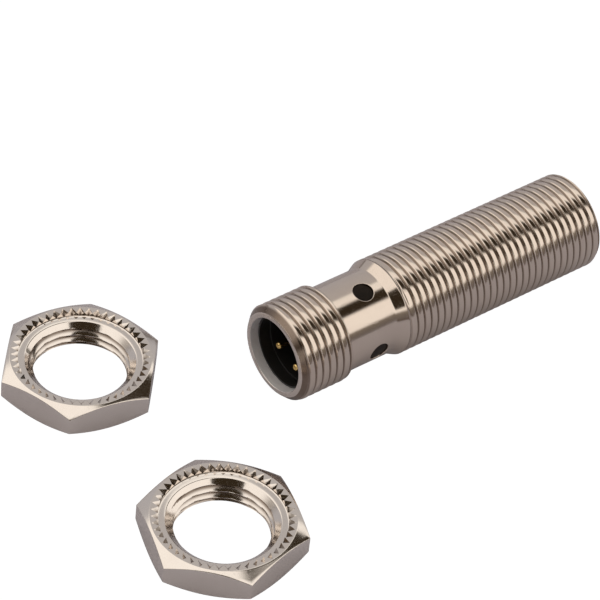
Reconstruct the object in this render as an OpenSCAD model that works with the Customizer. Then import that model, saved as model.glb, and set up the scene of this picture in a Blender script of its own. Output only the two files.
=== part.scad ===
// Inductive proximity sensor with a metric threaded barrel, a round plug-in
// connector at the rear and two loose mounting nuts lying beside it.
// The barrel lies along X. The origin is the centre of the sensing face, the
// sensing direction is +X, and the connector is at the far -X end.

/* [Threads] */
// Nominal diameter of the barrel thread, which the nuts share
thread_d = 12; // [10:0.5:18]
// Nominal diameter of the connector thread
connector_d = 12; // [10:0.5:18]
// Pitch of both threads
thread_pitch = 1; // [0.75:0.05:1.5]
// Allowance taken off an outside thread's diameter
thread_ease = 0.026; // [0:0.002:0.1]
// How much smaller the nut's bore is than the nominal diameter, all told
nut_thread_depth = 1.082; // [0.8:0.002:1.5]
// Mouth of the groove that stands for one turn of a thread
groove_mouth = 0.48; // [0.3:0.02:0.48]
// Depth of that groove
groove_depth = 0.36; // [0.1:0.02:0.38]

/* [Housing] */
// Length of the threaded barrel
barrel_len = 29.6; // [24:0.1:80]
// Length of the cone between barrel and neck
shoulder_len = 1.3; // [0.8:0.1:3]
// Length of the smooth neck
neck_len = 7.1; // [5.5:0.1:14]
// Length of the connector thread with its lead-in
connector_len = 7; // [5.5:0.1:12]
// How far the neck lies below the connector's thread
neck_step = 0.64; // [0.4:0.02:1]
// Metal between the barrel's thread and its bore
barrel_wall = 1; // [0.7:0.05:1.4]
// Metal between the neck's outside and its bore
neck_wall = 0.75; // [0.5:0.05:1]
// Metal between the connector's thread and its bore
connector_wall = 1.35; // [1:0.05:1.6]
// Chamfer round the sensing end
front_chamfer = 0.45; // [0.2:0.05:0.8]
// Height of the lead-in chamfer round the connector's mouth
lead_in_step = 0.8; // [0.4:0.01:0.8]
// Length of that lead-in
lead_in_len = 0.9; // [0.6:0.1:1.5]
// Chamfer inside the connector's mouth
mouth_chamfer = 0.1; // [0.05:0.01:0.15]

/* [Windows] */
// Diameter of each light window in the neck
window_d = 2.5; // [1.5:0.1:3]
// Distance from the shoulder to the middle of the windows
window_from_shoulder = 2.5; // [2.2:0.1:3.5]
// Metal left between a window and the ledge behind it
window_land = 0.25; // [0.2:0.05:0.6]
// How deep the lenses sit below the neck's surface
window_recess = 0.25; // [0.1:0.05:0.4]
// Wall of the light guide ring
guide_wall = 0.6; // [0.4:0.05:0.8]

/* [Connector] */
// Diameter of a contact pin
pin_d = 1; // [0.8:0.05:1.1]
// Gap between a pin and the wall of the socket
pin_wall_gap = 1.21; // [0.7:0.01:1.4]
// How far the pin tips lie inside the mouth
pin_recess = 2.1; // [1.5:0.05:4]
// Diameter of a pin's solder tail
tail_d = 0.8; // [0.5:0.05:0.8]
// Wall of the insert's sleeve
sleeve_wall = 0.42; // [0.3:0.02:0.6]
// How far the sleeve's lip lies inside the mouth
lip_recess = 1.2; // [0.6:0.1:2]
// Thickness of the insert's floor
insert_floor = 1.2; // [0.8:0.1:2]
// Width of the coding key
key_w = 1; // [0.6:0.1:1.4]
// How far the coding key stands in from the sleeve
key_h = 0.45; // [0.2:0.05:0.5]
// Thickness of the sealing ring in front of the insert
seal_t = 0.5; // [0.3:0.05:1]
// Thickness of the ledge that the insert is pushed against
ledge_t = 0.4; // [0.3:0.05:0.8]

/* [Sensing end] */
// Thickness of the cap at the sensing face
cap_t = 0.8; // [0.5:0.05:1.2]
// Wall of the cap's skirt
skirt_wall = 0.25; // [0.2:0.02:0.4]
// Wall of the shield ring
shield_wall = 0.25; // [0.15:0.02:0.4]
// Length of the ferrite core
core_len = 3; // [2.5:0.1:5]
// Thickness of the core's back
core_back = 0.9; // [0.6:0.05:1.2]
// Wall round the outside of the core
core_wall = 0.75; // [0.5:0.05:0.9]
// Diameter of the core's middle post
core_post_d = 3.4; // [2.4:0.1:3.6]
// Wall of the bobbin
bobbin_wall = 0.25; // [0.15:0.05:0.35]
// Diameter of a coil lead
lead_d = 0.2; // [0.1:0.05:0.3]

/* [Electronics] */
// Thickness of the circuit board
board_t = 0.8; // [0.6:0.1:1]
// Gap between the core and the circuit board
board_gap = 2.2; // [1.5:0.1:3]
// Thickness of the round board on the pin tails
tail_board_t = 0.6; // [0.4:0.1:0.8]

/* [Nuts] */
// Metal between the nut's thread and its flats
nut_rim = 2.5; // [2.4:0.1:3.5]
// Height of a nut
nut_h = 4; // [3.2:0.1:6]
// Angle of the chamfer on the nut's corners
nut_chamfer_angle = 30; // [20:1:35]
// Number of serrations round the nut's upper face
serrations = 48; // [36:1:60]
// Width of the band of serrations
serration_w = 0.8; // [0.5:0.05:0.9]
// Depth of a serration at its inner end
serration_depth = 0.55; // [0.3:0.05:0.7]
// Half the angle of a serration's groove
serration_half_angle = 42; // [35:1:45]

/* [Fits] */
// Radial gap between a bore and what is pushed into it
push_gap = 0.03; // [0.01:0.01:0.05]
// Radial gap round a pin or wire that goes through a hole
pin_gap = 0.02; // [0.01:0.01:0.05]
// Gap between the boards and the pieces round them
board_clearance = 0.15; // [0.1:0.05:0.3]

/* [Layout] */
// How far the sensor is rolled about its own length where it lies
sensor_roll = 12; // [-45:1:45]
// Distance from the connector's mouth to the first nut's centre, along X
nut_1_away = 17.6; // [16:0.1:40]
// Sideways place of the first nut's centre, along Y
nut_1_y = 13.4; // [12:0.1:40]
// How far the first nut is turned
nut_1_turn = 48.8; // [0:0.1:60]
// Distance from the connector's mouth to the second nut's centre, along X
nut_2_away = 18.5; // [16:0.1:40]
// Sideways place of the second nut's centre, along Y
nut_2_y = -15.9; // [-40:0.1:-12]
// How far the second nut is turned
nut_2_turn = 12.7; // [0:0.1:60]

/* [Hidden] */
$fn = 64;

// A cut runs this far past the face it opens
past = 0.5;

// Radii of the housing
crest_r = (thread_d - thread_ease) / 2;
connector_crest_r = (connector_d - thread_ease) / 2;
neck_r = connector_crest_r - neck_step;
bore_r = crest_r - barrel_wall;
neck_bore_r = neck_r - neck_wall;
connector_bore_r = connector_crest_r - connector_wall;
rest_height = max(crest_r, connector_crest_r);

// Places along the sensor are distances behind the sensing face
neck_start = barrel_len + shoulder_len;
connector_start = neck_start + neck_len;
overall_len = connector_start + connector_len;
bore_step = barrel_len + shoulder_len / 2;
window_at = neck_start + window_from_shoulder;
window_r = window_d / 2;
ledge_front = window_at + window_r + window_land;
ledge_rear = ledge_front + ledge_t;
floor_front = ledge_rear + seal_t;
floor_rear = floor_front + insert_floor;
guide_front = window_at - window_r - window_land;

// Connector insert and contacts
insert_r = connector_bore_r - push_gap;
socket_r = insert_r - sleeve_wall;
pin_r = pin_d / 2;
tail_r = tail_d / 2;
pin_circle_r = socket_r - pin_wall_gap - pin_r;
pin_tip = overall_len - pin_recess;
pin_tip_chamfer = 0.3 * pin_r;
guide_r = neck_bore_r - push_gap;
guide_inner_r = guide_r - guide_wall;
// The ledge stands in at least this far from the bore of the insert
ledge_step = 0.6;
ledge_r = min(guide_inner_r, connector_bore_r - ledge_step);

// Boards
tail_board_r = min(ledge_r, guide_inner_r) - board_clearance;
tail_board_set_in = 0.2;
tail_board_rear = ledge_rear - tail_board_set_in;
tail_board_front = tail_board_rear - tail_board_t;
board_half_w = min(guide_inner_r, bore_r) - 1.5 * board_clearance;
core_rear = cap_t + core_len;
board_front = core_rear + board_gap;
// A pin's tail stands this far past the round board, in a shorter cone of solder
tail_stub = 0.45;
joint_len = 0.3;
tail_end = tail_board_front - tail_stub;

// Sensing end
cap_r = bore_r - push_gap;
shield_r = cap_r - skirt_wall - push_gap;
core_r = shield_r - shield_wall - push_gap;
core_window_r = core_r - core_wall;
post_r = core_post_d / 2;
bobbin_r = post_r + push_gap;
flange_r = core_window_r - 2 * push_gap;
bobbin_front = cap_t + push_gap;
bobbin_rear = core_rear - core_back - push_gap;
coil_in_r = bobbin_r + bobbin_wall;
// The winding stays this far inside the bobbin's flanges
winding_step = 0.1;
coil_out_r = flange_r - winding_step;
// The leads lie this far above the board, on their pads
lead_lift = 0.05;
lead_x = board_t / 2 + lead_lift + lead_d / 2;
lead_circle_r = (coil_in_r + coil_out_r) / 2;
lead_y = sqrt(lead_circle_r * lead_circle_r - lead_x * lead_x);
// The leads reach this far over the board
lead_reach = 1;
lead_end = board_front + lead_reach;

// Nuts
nut_flats = thread_d + 2 * nut_rim;
nut_corner_r = nut_flats / sqrt(3);
nut_bore_r = (thread_d - nut_thread_depth) / 2;
// Steps across the nut's faces: round the mouth, the flat face and the rim
nut_mouth_step = 0.1;
nut_face_step = 0.3;
nut_rim_land = 0.15;
// The ring inside the serrations lies this much lower than their grooves
ring_step = 0.05;
nut_mouth_r = thread_d / 2 + nut_mouth_step;
nut_face_r = nut_flats / 2 - nut_face_step;
serration_out_r = nut_face_r - nut_rim_land;
serration_in_r = serration_out_r - serration_w;
ring_drop = serration_depth + ring_step;
ring_in_r = (nut_bore_r + serration_in_r) / 2 - ring_step;
nut_x_1 = -overall_len - nut_1_away;
nut_x_2 = -overall_len - nut_2_away;

// Colours
nickel = [0.78, 0.74, 0.69];
gold = [0.85, 0.65, 0.3];
black_plastic = [0.06, 0.06, 0.06];
cap_blue = [0.12, 0.2, 0.42];
board_green = [0.1, 0.4, 0.2];
chip_black = [0.12, 0.12, 0.13];

// Turns a piece drawn along Z, sensing end up, to lie along X as the sensor lies
module lay() {
    rotate([0, 90, 0])
        rotate([0, 0, 180 + sensor_roll])
            children();
}

// A solid disc between two distances behind the sensing face
module disc(front, rear, r) {
    translate([0, 0, -rear])
        cylinder(h = rear - front, r = r);
}

// A ring between two distances behind the sensing face
module ring(front, rear, outer, inner) {
    difference() {
        disc(front, rear, outer);
        disc(front - past, rear + past, inner);
    }
}

// A thread ends in at least this much plain crest
end_land = 0.1;

// Outline of a run of thread grooves, as [radius, height], going down from top
function grooves(top, len, r) =
    let (
        count = floor((len - groove_mouth - 2 * end_land) / thread_pitch) + 1,
        first = (len - (count - 1) * thread_pitch - groove_mouth) / 2,
        flank = groove_depth * tan(30)
    )
    [for (i = [0 : count - 1], k = [0 : 3])
        let (
            start = top - first - i * thread_pitch,
            drop = [0, flank, groove_mouth - flank, groove_mouth][k],
            depth = (k == 1 || k == 2) ? groove_depth : 0
        )
        [r - depth, start - drop]];

// Turned outline of the housing, from the sensing end down the outside and back
function housing_outline() = concat(
    [[crest_r - front_chamfer, 0], [crest_r, -front_chamfer]],
    grooves(-front_chamfer, barrel_len - front_chamfer, crest_r),
    [[crest_r, -barrel_len], [neck_r, -neck_start],
        [neck_r, -connector_start], [connector_crest_r, -connector_start]],
    grooves(-connector_start, connector_len - lead_in_len, connector_crest_r),
    [[connector_crest_r, -overall_len + lead_in_len],
        [connector_crest_r - lead_in_step, -overall_len],
        [connector_bore_r + mouth_chamfer, -overall_len],
        [connector_bore_r, -overall_len + mouth_chamfer],
        [connector_bore_r, -ledge_rear], [ledge_r, -ledge_rear],
        [ledge_r, -ledge_front], [neck_bore_r, -ledge_front],
        [neck_bore_r, -bore_step], [bore_r, -bore_step], [bore_r, 0]]);

// Places its children at each of the four windows, pointing outwards
module at_windows() {
    for (a = [0 : 90 : 270])
        rotate([0, 0, a])
            translate([0, 0, -window_at])
                rotate([0, 90, 0])
                    children();
}

module housing() {
    color(nickel) lay()
        difference() {
            rotate_extrude()
                polygon(housing_outline());
            at_windows()
                cylinder(h = neck_r + past, r = window_r);
        }
}

module sensing_cap() {
    color(cap_blue) lay()
        difference() {
            disc(0, core_rear, cap_r);
            disc(cap_t, core_rear + past, cap_r - skirt_wall);
        }
}

module shield_ring() {
    color("goldenrod") lay()
        ring(cap_t, core_rear, shield_r, shield_r - shield_wall);
}

// The two straight coil leads, thickened by a gap where they are to be cut out
module lead_pair(front, rear, gap) {
    for (side = [-1, 1])
        translate([lead_x, side * lead_y, 0])
            disc(front, rear, lead_d / 2 + gap);
}

module ferrite_core() {
    color("dimgray") lay()
        difference() {
            disc(cap_t, core_rear, core_r);
            ring(cap_t - past, core_rear - core_back, core_window_r, post_r);
            lead_pair(cap_t, core_rear + past, pin_gap);
        }
}

module coil_bobbin() {
    color("ivory") lay()
        difference() {
            union() {
                ring(bobbin_front, bobbin_rear, coil_in_r, bobbin_r);
                ring(bobbin_front, bobbin_front + bobbin_wall, flange_r, bobbin_r);
                ring(bobbin_rear - bobbin_wall, bobbin_rear, flange_r, bobbin_r);
            }
            lead_pair(bobbin_rear - bobbin_wall - past, bobbin_rear + past, pin_gap);
        }
}

module sensing_coil() {
    color("chocolate") lay()
        ring(bobbin_front + bobbin_wall, bobbin_rear - bobbin_wall, coil_out_r, coil_in_r);
}

module coil_leads() {
    color("peru") lay()
        lead_pair(bobbin_rear - bobbin_wall, lead_end, 0);
}

module circuit_board() {
    color(board_green) lay()
        translate([-board_t / 2, -board_half_w, -tail_board_front])
            cube([board_t, 2 * board_half_w, tail_board_front - board_front]);
}

// A block on the board: side 1 is the upper face and -1 the lower, along is the
// distance of its middle behind the sensing face, and size is [length, width, height]
module on_board(side, along, across, size) {
    low = side > 0 ? board_t / 2 : -board_t / 2 - size[2];
    translate([low, across - size[1] / 2, -along - size[0] / 2])
        cube([size[2], size[1], size[0]]);
}

// Legs of a small moulded package: three flat feet, two on one side
module legs(along, across, width) {
    foot = [0.4, 0.5, 0.15];
    for (step = [-0.95, 0.95])
        on_board(1, along + step, across - width / 2 - foot[1] / 2, foot);
    on_board(1, along, across + width / 2 + foot[1] / 2, foot);
}

module sensor_chip() {
    chip = [4, 4, 0.9];
    color(chip_black) lay()
        on_board(1, board_front + 6, 0, chip);
}

module voltage_regulator() {
    package = [2.9, 1.6, 1.1];
    at = tail_board_front - 8;
    color(chip_black) lay()
        union() {
            on_board(1, at, -0.6, package);
            legs(at, -0.6, package[1]);
        }
}

module output_transistor() {
    package = [2.9, 1.3, 1];
    at = tail_board_front - 4.5;
    color(chip_black) lay()
        union() {
            on_board(1, at, 0.6, package);
            legs(at, 0.6, package[1]);
        }
}

module protection_diode() {
    diode_len = 3.5;
    diode_r = 0.75;
    at = tail_board_front - 6.5;
    color("firebrick") lay()
        translate([-board_t / 2 - diode_r, 0, 0])
            disc(at - diode_len / 2, at + diode_len / 2, diode_r);
}

module chip_capacitors() {
    body = [2, 1.25, 0.9];
    color("tan") lay()
        for (i = [0 : 2])
            on_board(-1, board_front + 2.5 + 3 * i, 1.2 * (i - 1), body);
}

module chip_resistors() {
    body = [1.6, 0.8, 0.45];
    color("black") lay() {
        for (i = [0 : 2])
            on_board(1, board_front + 2.4, 1.3 * (i - 1), body);
        for (i = [-1, 1])
            on_board(-1, tail_board_front - 3, 1.4 * i, body);
    }
}

module status_leds() {
    led = [1.6, 0.8, 0.7];
    color("yellow") lay()
        for (side = [-1, 1])
            on_board(side, window_at, 0, led);
}

module light_guide() {
    color("khaki") lay()
        ring(guide_front, ledge_front, guide_r, guide_inner_r);
}

module window_lenses() {
    color("darkolivegreen") lay()
        difference() {
            at_windows()
                cylinder(h = neck_r - window_recess, r = window_r - pin_gap);
            disc(guide_front - past, ledge_front + past, guide_r);
        }
}

// Places its children on the pin circle: 1, 3 and 4 are fitted, 2 is left out
module at_pin(number) {
    rotate([0, 0, [45, -45, -135, -225][number - 1]])
        translate([pin_circle_r, 0, 0])
            children();
}

module pin_body(number) {
    at_pin(number)
        union() {
            disc(floor_front, pin_tip - pin_tip_chamfer, pin_r);
            translate([0, 0, -pin_tip])
                cylinder(h = pin_tip_chamfer, r1 = pin_r - pin_tip_chamfer, r2 = pin_r);
            disc(tail_end, floor_front, tail_r);
        }
}

module contact_pin_1() {
    color(gold) lay() pin_body(1);
}

module contact_pin_3() {
    color(gold) lay() pin_body(3);
}

module contact_pin_4() {
    color(gold) lay() pin_body(4);
}

module tail_board() {
    color(board_green) lay()
        difference() {
            disc(tail_board_front, tail_board_rear, tail_board_r);
            for (number = [1, 3, 4])
                at_pin(number)
                    disc(tail_board_front - past, tail_board_rear + past, tail_r + pin_gap);
        }
}

// Each joint is a cone of solder round a tail, and two pads hold the coil leads
module solder_joints() {
    pad = [0.8, 0.7, 0.35];
    color("silver") lay() {
        for (number = [1, 3, 4])
            at_pin(number)
                translate([0, 0, -tail_board_front])
                    difference() {
                        cylinder(h = joint_len, r1 = tail_r + 0.3, r2 = tail_r + 0.05);
                        translate([0, 0, -past])
                            cylinder(h = joint_len + 2 * past, r = tail_r);
                    }
        difference() {
            for (side = [-1, 1])
                on_board(1, lead_end - pad[0] / 2, side * lead_y, pad);
            lead_pair(board_front, lead_end + past, 0);
        }
    }
}

module connector_insert() {
    color(black_plastic) lay()
        difference() {
            union() {
                disc(floor_front, floor_rear, insert_r);
                ring(floor_rear, overall_len - lip_recess, insert_r, socket_r);
                translate([socket_r - key_h, -key_w / 2, -overall_len + lip_recess])
                    cube([key_h + sleeve_wall / 2, key_w, overall_len - lip_recess - floor_rear]);
            }
            for (number = [1, 3, 4])
                at_pin(number)
                    disc(floor_front - past, floor_rear + past, pin_r + pin_gap);
        }
}

module insert_seal() {
    seal_set_back = 0.05;
    color("dimgray") lay()
        ring(ledge_rear, floor_front, insert_r, ledge_r + seal_set_back);
}

module potting_compound() {
    color([0.35, 0.3, 0.25]) difference() {
        lay() union() {
            disc(guide_front, tail_board_front, guide_inner_r);
            disc(bore_step, guide_front, neck_bore_r);
            disc(core_rear, bore_step, bore_r);
        }
        circuit_board();
        coil_leads();
        sensor_chip();
        voltage_regulator();
        output_transistor();
        protection_diode();
        chip_capacitors();
        chip_resistors();
        status_leds();
        solder_joints();
        contact_pin_1();
        contact_pin_3();
        contact_pin_4();
    }
}

// Body of a nut with both sides of its hexagon chamfered by a cone
module nut_blank() {
    corner = nut_corner_r + past;
    drop = (corner - nut_face_r) * tan(nut_chamfer_angle);
    intersection() {
        cylinder(h = nut_h, r = nut_corner_r, $fn = 6);
        rotate_extrude()
            polygon([[0, 0], [nut_face_r, 0], [corner, drop], [corner, nut_h - drop],
                [nut_face_r, nut_h], [0, nut_h]]);
    }
}

// What is turned out of a nut: the lowered ring, both mouths and the thread
module nut_hollow() {
    ring_z = nut_h - ring_drop;
    lower = nut_mouth_r - nut_bore_r;
    upper = ring_in_r - nut_bore_r;
    thread = [for (p = grooves(ring_z - upper, ring_z - upper - lower, nut_bore_r))
        [2 * nut_bore_r - p[0], p[1]]];
    rotate_extrude()
        polygon(concat(
            [[0, nut_h + past], [serration_in_r, nut_h + past], [serration_in_r, ring_z],
                [ring_in_r, ring_z], [nut_bore_r, ring_z - upper]],
            thread,
            [[nut_bore_r, lower], [nut_mouth_r, 0], [nut_mouth_r, -past], [0, -past]]));
}

// Grooves that fall inwards from the nut's rim and leave teeth between them
module nut_serrations() {
    fall = atan(serration_depth / serration_w);
    run = serration_w / cos(fall);
    tall = 1.2;
    over = 0.2;
    wide = tall * tan(serration_half_angle);
    for (i = [0 : serrations - 1])
        rotate([0, 0, i * 360 / serrations])
            translate([serration_out_r, 0, nut_h])
                rotate([0, -90 - fall, 0])
                    linear_extrude(height = run + over)
                        polygon([[0, 0], [tall, wide], [tall, -wide]]);
}

module nut() {
    difference() {
        nut_blank();
        nut_hollow();
        nut_serrations();
    }
}

module mounting_nut_1() {
    color(nickel)
        translate([nut_x_1, nut_1_y, -rest_height])
            rotate([0, 0, nut_1_turn])
                nut();
}

module mounting_nut_2() {
    color(nickel)
        translate([nut_x_2, nut_2_y, -rest_height])
            rotate([0, 0, nut_2_turn])
                nut();
}

housing();
sensing_cap();
shield_ring();
ferrite_core();
coil_bobbin();
sensing_coil();
coil_leads();
circuit_board();
sensor_chip();
voltage_regulator();
output_transistor();
protection_diode();
chip_capacitors();
chip_resistors();
status_leds();
light_guide();
window_lenses();
tail_board();
solder_joints();
connector_insert();
insert_seal();
contact_pin_1();
contact_pin_3();
contact_pin_4();
potting_compound();
mounting_nut_1();
mounting_nut_2();
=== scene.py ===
import bmesh
import bpy
import numpy as np
from mathutils import Matrix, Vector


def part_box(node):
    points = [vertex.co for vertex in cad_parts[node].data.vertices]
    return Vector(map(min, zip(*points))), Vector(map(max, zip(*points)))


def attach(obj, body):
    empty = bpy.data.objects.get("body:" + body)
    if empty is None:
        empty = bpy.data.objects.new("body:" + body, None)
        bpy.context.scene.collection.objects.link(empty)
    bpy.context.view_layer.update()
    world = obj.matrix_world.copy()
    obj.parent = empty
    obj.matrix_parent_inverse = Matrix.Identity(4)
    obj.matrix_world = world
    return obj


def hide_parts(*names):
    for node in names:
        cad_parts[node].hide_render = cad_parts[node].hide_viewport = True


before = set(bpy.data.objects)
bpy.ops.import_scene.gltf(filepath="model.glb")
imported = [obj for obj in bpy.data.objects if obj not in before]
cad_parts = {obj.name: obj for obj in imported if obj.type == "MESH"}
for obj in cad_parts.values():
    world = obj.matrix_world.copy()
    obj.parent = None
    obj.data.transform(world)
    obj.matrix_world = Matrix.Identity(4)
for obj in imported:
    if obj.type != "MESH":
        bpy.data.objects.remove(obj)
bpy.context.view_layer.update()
mm = 0.001
weldGap = 2e-7  # points nearer to each other than this, in metres, become one
roundShare = 0.0002  # how far from a radius, as a share of it, a point still counts as on it
print("frame loaded:", len(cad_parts), "nodes")


def nodeBox(node):
    # lowest and highest corner of a CAD node, in millimetres
    return [np.array(corner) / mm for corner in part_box(node)]


def onBarrel(along, radius, turn):
    # a point at a distance along X, at a radius, turned from up towards +Y
    parts = np.broadcast_arrays(along, radius * np.sin(turn), radius * np.cos(turn))
    return np.stack(parts, -1)


def smoothStep(low, high, value):
    # 0 below low, 1 above high, and 3t2 - 2t3 between
    t = np.clip((value - low) / (high - low), 0, 1)
    return t * t * (3 - 2 * t)


def threadDip(turns, crest, root, roundness):
    # how deep a thread lies, from 0 on the crest to 1 in the root, after a number of turns:
    # straight flanks between a flat crest and a flat root, mixed with a parabola that rounds
    # the crest and leaves the root sharp
    away = 2 * np.abs(turns - np.round(turns))
    straight = np.clip((away - crest) / (1 - crest - root), 0, 1)
    return (1 - roundness) * straight + roundness * away ** 2


def roundedPath(corners, steps=3):
    # a closed outline from [along, radius, fillet] corners: each corner becomes a quadratic
    # curve that starts and ends a fillet's length away from it along its two sides
    corners = np.array(corners, float)
    place, fillet = corners[:, :2], corners[:, 2:]
    before = np.roll(place, 1, axis=0) - place
    after = np.roll(place, -1, axis=0) - place
    start = place + before * fillet / np.linalg.norm(before, axis=1, keepdims=True)
    end = place + after * fillet / np.linalg.norm(after, axis=1, keepdims=True)
    t = np.linspace(0, 1, steps + 1)[None, :, None]
    curve = (1 - t) ** 2 * start[:, None] + 2 * t * (1 - t) * place[:, None] + t * t * end[:, None]
    return curve.reshape(-1, 2)


def openPath(corners, steps=3):
    # a rounded path without the ends' own corners, which only give the direction
    return roundedPath(corners, steps)[steps + 1: -(steps + 1)]


def gridFaces(rows, columns, closeRows, first):
    # quads between neighbouring rows of points numbered row by row, where each row is a ring
    i = np.arange(rows if closeRows else rows - 1)[:, None]
    j = np.arange(columns)[None, :]
    nextI, nextJ = (i + 1) % rows, (j + 1) % columns
    corners = (i * columns + j, i * columns + nextJ, nextI * columns + nextJ, nextI * columns + j)
    return np.stack(np.broadcast_arrays(*corners), -1).reshape(-1, 4) + first


def makePiece(name, sheets, body, replaced, sharpAngle=35, roundRadius=None):
    # one mesh from sheets of points in millimetres: {"points", "closeRows", "groove", "satin"},
    # welded where their edges meet, with its faces turned outwards; points at the round radius
    # from the X axis get a normal that points straight away from it
    points, faces, first = [], [], 0
    marks = {"groove": [], "satin": []}
    for sheet in sheets:
        rows, columns = sheet["points"].shape[:2]
        points.append(sheet["points"].reshape(-1, 3))
        for mark, values in marks.items():
            values.append(np.broadcast_to(sheet.get(mark, 0.0), (rows, columns)).reshape(-1))
        faces.append(gridFaces(rows, columns, sheet.get("closeRows", False), first))
        first += rows * columns
    mesh = bpy.data.meshes.new(name)
    mesh.from_pydata((np.concatenate(points) * mm).tolist(), [], np.concatenate(faces).tolist())
    for mark, values in marks.items():
        attribute = mesh.attributes.new(mark, "FLOAT", "POINT")
        attribute.data.foreach_set("value", np.concatenate(values).astype(np.float32))
    work = bmesh.new()
    work.from_mesh(mesh)
    bmesh.ops.remove_doubles(work, verts=work.verts, dist=weldGap)
    bmesh.ops.recalc_face_normals(work, faces=work.faces)
    work.to_mesh(mesh)
    work.free()
    mesh.shade_smooth()
    mesh.set_sharp_from_angle(angle=np.radians(sharpAngle))
    if roundRadius:
        place = np.empty(len(mesh.vertices) * 3, np.float32)
        mesh.vertices.foreach_get("co", place)
        outward = place.reshape(-1, 3) * np.array([0, 1, 1]) / (roundRadius * mm)
        onRound = np.abs(np.linalg.norm(outward, axis=1, keepdims=True) - 1) < roundShare
        mesh.normals_split_custom_set_from_vertices((outward * onRound).tolist())
    piece = bpy.data.objects.new(name, mesh)
    bpy.context.scene.collection.objects.link(piece)
    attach(piece, body)
    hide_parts(*replaced)
    print("made", name, len(mesh.polygons), "faces")
    return piece


def turned(outline, steps=64):
    # a closed outline of (along, radius) points carried once round the X axis
    turn = np.arange(steps) * 2 * np.pi / steps
    return {"points": onBarrel(outline[:, :1], outline[:, 1:], turn[None]), "closeRows": True}


# the housing: its main sizes come from the pieces pushed into it
fit = {
    "push": 0.03,  # gap round a piece pushed into a bore
    "glass": 0.02,  # gap round a lens
    "recess": 0.25,  # how deep the lenses sit
    "wall": 0.6,  # of the light guide
    "barrelLength": 29.6,
    "shoulderLength": 1.3,
    "neckLength": 7.1,
    "lie": np.radians(-12),  # how the sensor is rolled, from up towards +Y
}
housingLow, housingHigh = nodeBox("housing")
lensLow, lensHigh = nodeBox("window_lenses")
insertLow, insertHigh = nodeBox("connector_insert")
guideLow, guideHigh = nodeBox("light_guide")
sealHigh = nodeBox("insert_seal")[1]
capLow, capHigh = nodeBox("sensing_cap")
neckFront = -fit["barrelLength"] - fit["shoulderLength"]
lensRadius = (lensHigh[0] - lensLow[0]) / 2
lensTop = (lensHigh[2] + lensRadius * np.sin(fit["lie"])) / np.cos(fit["lie"])

housing = {
    "crest": housingHigh[2],  # radius of both threads
    "mouth": housingLow[0],  # the connector's open end
    "pitch": 1.0,
    "threadDepth": 0.3,
    "crestFlat": 0.56,
    "rootFlat": 0.05,
    "roundness": 0.3,
    "frontChamfer": 0.32,
    "barrelEnd": -fit["barrelLength"],
    "neckFront": neckFront,
    "neckRear": neckFront - fit["neckLength"],
    "neckRadius": lensTop + fit["recess"],
    "leadInLength": 0.85,
    "leadInRadius": 5.187,
    "mouthChamfer": 0.06,
    "ledgeRadius": guideHigh[2] - fit["wall"],
    "ledgeRear": sealHigh[0],
    "ledgeFront": guideLow[0],
    "neckBore": guideHigh[2] + fit["push"],
    "boreStep": (neckFront - fit["barrelLength"]) / 2,
    "barrelBore": capHigh[2] + fit["push"],
    "connectorBore": insertHigh[2] + fit["push"],
    "runOut": 0.7,  # length over which the barrel's thread fades before the shoulder
    "frontStart": 0.14,  # where the thread's rows begin behind the sensing end
    "mouthStart": 0.1,  # where they end before the mouth
    "mouthFade": (0.2, 0.8),  # the connector's thread fades in between these, from the mouth
    "rearEdge": 0.1,  # bevel of the connector's edge next to the neck
    "rimSatin": 0.25,  # how satin the mouth's rim is, from 0 to 1
    "rowsPerTurn": 16,
    "columns": 128,
}
window = {
    "at": (lensLow[0] + lensHigh[0]) / 2,
    "radius": lensRadius + fit["glass"],
    "edge": 0.09,
    "turn": fit["lie"],
    "outerReach": 2.1,  # half the length of the neck that each window's patch covers
    "innerReach": 1.45,
    "sideRows": 16,
    "wallDepths": (0.1, 0.3, 0.5),  # below the hole's rounded edge
}


def threadedRows(start, end, size):
    # even places from start to end along X, a set number of them in each turn of the thread
    count = int(round(abs(end - start) / size["pitch"] * size["rowsPerTurn"]))
    return np.linspace(start, end, count + 1)


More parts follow.
